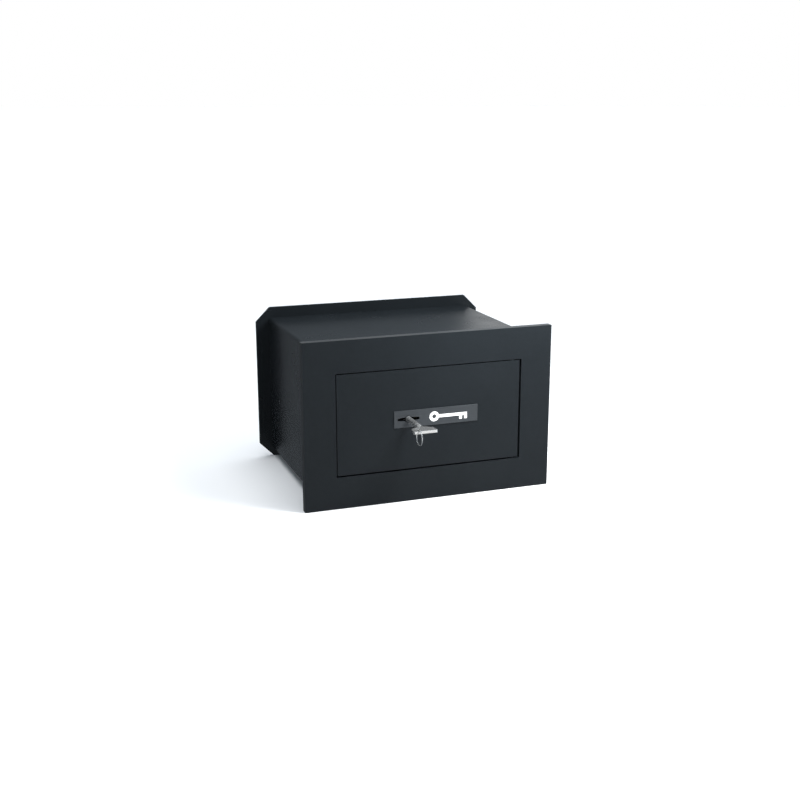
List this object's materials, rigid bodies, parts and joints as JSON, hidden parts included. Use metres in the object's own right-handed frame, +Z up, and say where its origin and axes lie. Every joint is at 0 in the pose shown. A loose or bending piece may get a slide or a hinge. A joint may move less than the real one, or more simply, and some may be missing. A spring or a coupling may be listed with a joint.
{
  "type": "wall safe",
  "caption": "Small key-operated wall safe: flush flange front, hinged door with shooting bolts and lever lock, box casing and chamfered rear anchor plate.",
  "frame": {"origin": "centre of the rear plate's back face", "axes": "+X to the right seen from the front, +Y into the wall, +Z up; the door faces -Y"},
  "size_m": [0.32, 0.3106, 0.208],
  "materials": {
    "front_paint": "satin dark anthracite enamel, fine texture",
    "casing_paint": "satin dark anthracite enamel, slightly glossier and streaky on sheet",
    "inner_paint": "matt dark grey enamel",
    "label_metal": "horizontally brushed grey metal",
    "brass": "milled, satin",
    "bright_steel": "turned or ground bright steel",
    "zinc_steel": "zinc-plated, dull silver",
    "black_oxide": "black oxide screws",
    "nickel": "nickel-plated, lightly worn"
  },
  "bodies": {
    "safe": {"front_frame": "front_paint", "casing_wrap": "casing_paint", "casing_floor": "casing_paint", "rear_plate": "casing_paint", "hinge_washer": "black_oxide", "hinge_keeper_upper": "zinc_steel", "door_stop_upper": "inner_paint", "hinge_keeper_lower": "zinc_steel", "door_stop_lower": "inner_paint", "hinge_keeper_screw_upper_left": "black_oxide", "hinge_keeper_screw_upper_right": "black_oxide", "hinge_keeper_screw_lower_left": "black_oxide", "hinge_keeper_screw_lower_right": "black_oxide"},
    "door": {"door_plate": "front_paint", "label_plate": "label_metal", "hinge_pin_upper": "bright_steel", "hinge_pin_lower": "bright_steel", "drill_plate": "bright_steel", "dead_bar": "zinc_steel", "dead_bar_screw_upper": "black_oxide", "dead_bar_screw_lower": "black_oxide", "lock_case": "zinc_steel", "lock_lid": "zinc_steel", "lock_screw_1": "black_oxide", "lock_screw_2": "black_oxide", "lock_screw_3": "black_oxide", "lever_post": "bright_steel", "lever_1": "brass", "lever_2": "brass", "lever_3": "brass", "lever_4": "brass", "lever_5": "brass", "lever_springs": "bright_steel", "bolt_guide": "zinc_steel", "bolt_guide_screw_upper": "black_oxide", "bolt_guide_screw_lower": "black_oxide", "boltwork_cover": "inner_paint", "cover_screw_upper_left": "black_oxide", "cover_screw_upper_right": "black_oxide", "cover_screw_lower_left": "black_oxide", "cover_screw_lower_right": "black_oxide"},
    "boltwork": {"bolt_carriage": "zinc_steel", "bolt_upper": "bright_steel", "bolt_lower": "bright_steel", "bolt_screw_upper": "black_oxide", "bolt_screw_lower": "black_oxide", "lock_bolt": "brass", "lock_bolt_screw": "black_oxide"},
    "rotor": {"lock_rotor": "brass"},
    "key": {"key": "nickel"},
    "ring": {"key_ring": "nickel"}
  },
  "joints": [
    {"name": "door_hinge", "type": "hinge", "parent": "safe", "child": "door", "pos_m": [0.1094, -0.237, 0], "axis": [0, 0, 1], "range_deg": [0, 110]},
    {"name": "key_turn", "type": "hinge", "parent": "door", "child": "rotor", "pos_m": [-0.029, -0.227, 0.001], "axis": [0, 1, 0], "range_deg": [0, 180]},
    {"name": "bolt_slide", "type": "slide", "parent": "door", "child": "boltwork", "axis": [-1, 0, 0], "range_m": [0, 0.018]},
    {"name": "key_slide", "type": "slide", "parent": "rotor", "child": "key", "axis": [0, -1, 0], "range_m": [0, 0.06]},
    {"name": "ring_swing", "type": "hinge", "parent": "key", "child": "ring", "pos_m": [-0.0364, -0.3004, 0.0028], "axis": [0, 1, 0], "range_deg": [-20, 20]}
  ],
  "couplings": [
    {"joint": "key_turn", "follows": "bolt_slide", "rad_per_m": 174.53}
  ]
}
